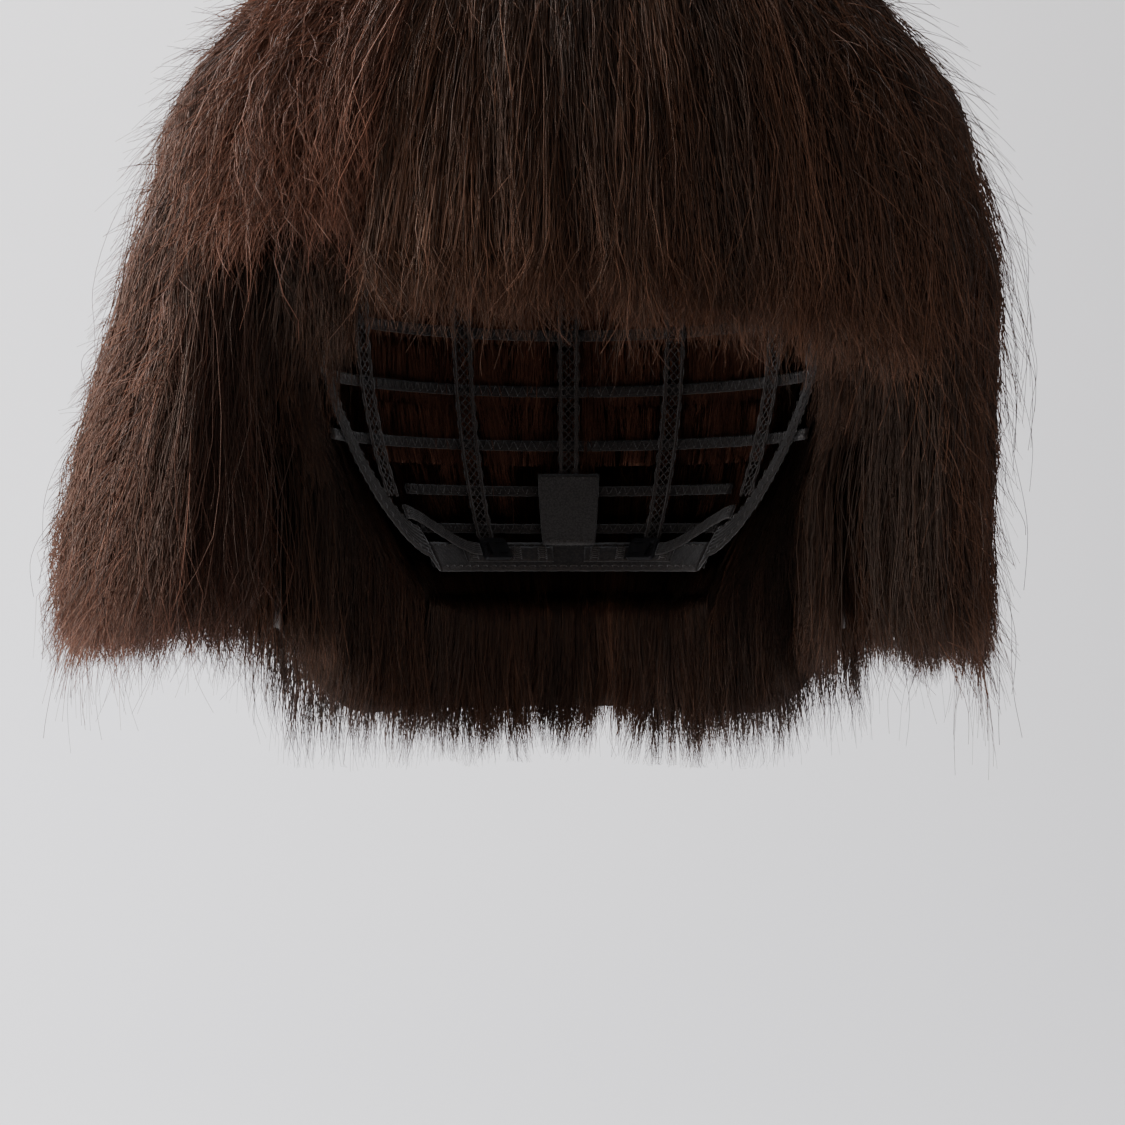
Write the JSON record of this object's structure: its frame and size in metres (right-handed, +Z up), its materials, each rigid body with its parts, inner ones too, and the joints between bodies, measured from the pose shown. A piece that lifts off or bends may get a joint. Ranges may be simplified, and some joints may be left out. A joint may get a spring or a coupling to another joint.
{
  "type": "costume wig",
  "caption": "Short straight bob wig with a blunt heavy fringe, on a sewn net and ribbon cap with adjusters at the nape.",
  "frame": {"origin": "where the head sits: the middle of the head in plan, level with the cap's front hairline", "axes": "+Z up, -Y the way the wearer faces, +X the wearer's left"},
  "size_m": [0.2652, 0.2427, 0.254],
  "materials": {
    "hair": "very dark brown modacrylic fibre, soft gloss along the strands",
    "hair_lit": "dark brown fibre with a reddish cast, frizzed and drier than the rest",
    "weft_track": "close machine stitching, matte",
    "net": "fine stretch net, matte",
    "band": "brushed polyester tape, matte",
    "elastic": "ribbed elastic and stretch lace, low sheen",
    "plastic": "satin black plastic",
    "label": "plain woven label, blank"
  },
  "bodies": {
    "cap": {"crown_net": "net", "crown_closure": "net", "crown_ribbon": "elastic", "front_band": "band", "nape_band": "band", "ear_tab_left": "band", "ear_tab_right": "band", "ear_stay_left": "plastic", "ear_stay_right": "plastic", "ear_elastic_left": "elastic", "ear_elastic_right": "elastic", "back_ribbon_centre": "elastic", "back_ribbon_left": "elastic", "back_ribbon_right": "elastic", "side_ribbon_left": "elastic", "side_ribbon_right": "elastic", "adjuster_tape_left": "band", "adjuster_tape_right": "band", "adjuster_strap_left": "elastic", "adjuster_strap_right": "elastic", "care_label": "label", "fringe_wefts": "weft_track", "top_wefts": "weft_track", "side_wefts_left": "weft_track", "side_wefts_right": "weft_track", "back_wefts": "weft_track", "nape_wefts": "weft_track", "crown_hair": "hair", "fringe_hair": "hair", "fringe_tier": "hair_lit", "temple_hair_left": "hair", "temple_hair_right": "hair", "side_hair_left": "hair", "side_hair_right": "hair_lit", "under_hair_left": "hair", "under_hair_right": "hair", "back_hair_left": "hair", "back_hair_right": "hair", "nape_hair_left": "hair", "nape_hair_right": "hair"},
    "adjuster_left": {"adjuster_hook_left": "plastic"},
    "adjuster_right": {"adjuster_hook_right": "plastic"}
  },
  "joints": [
    {"name": "adjust_left", "type": "hinge", "parent": "cap", "child": "adjuster_left", "pos_m": [0, 0.02519, -0.10724], "axis": [0, 0, 1], "range_deg": [-12, 24], "deforming": ["adjuster_strap_left"]},
    {"name": "adjust_right", "type": "hinge", "parent": "cap", "child": "adjuster_right", "pos_m": [0, 0.02519, -0.10724], "axis": [0, 0, -1], "range_deg": [-12, 24], "deforming": ["adjuster_strap_right"]}
  ]
}
